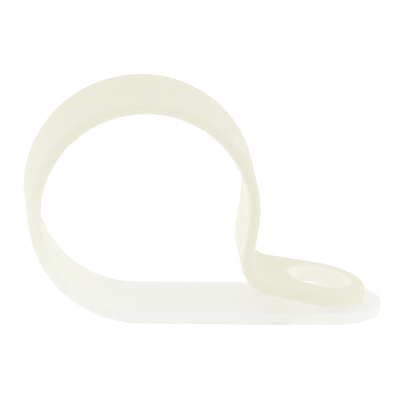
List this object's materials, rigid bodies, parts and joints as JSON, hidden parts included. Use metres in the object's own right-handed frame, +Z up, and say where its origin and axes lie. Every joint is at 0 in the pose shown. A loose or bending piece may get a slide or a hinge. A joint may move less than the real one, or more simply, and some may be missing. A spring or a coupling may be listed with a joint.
{
  "type": "p clip",
  "caption": "P clip: a moulded strap that loops round a cable, with a flat leg and a screw tab hanging over it, clamped to a panel by one screw.",
  "frame": {"origin": "middle of the leg's screw hole, at the flat underside that lies on the panel", "axes": "+X along the leg towards its round end, +Y along the cable, +Z up from the panel"},
  "size_m": [0.0334, 0.0096, 0.0215],
  "materials": {
    "natural_nylon": "satin, slightly translucent natural nylon"
  },
  "bodies": {
    "root": {"clip_strap": "natural_nylon"}
  },
  "joints": []
}
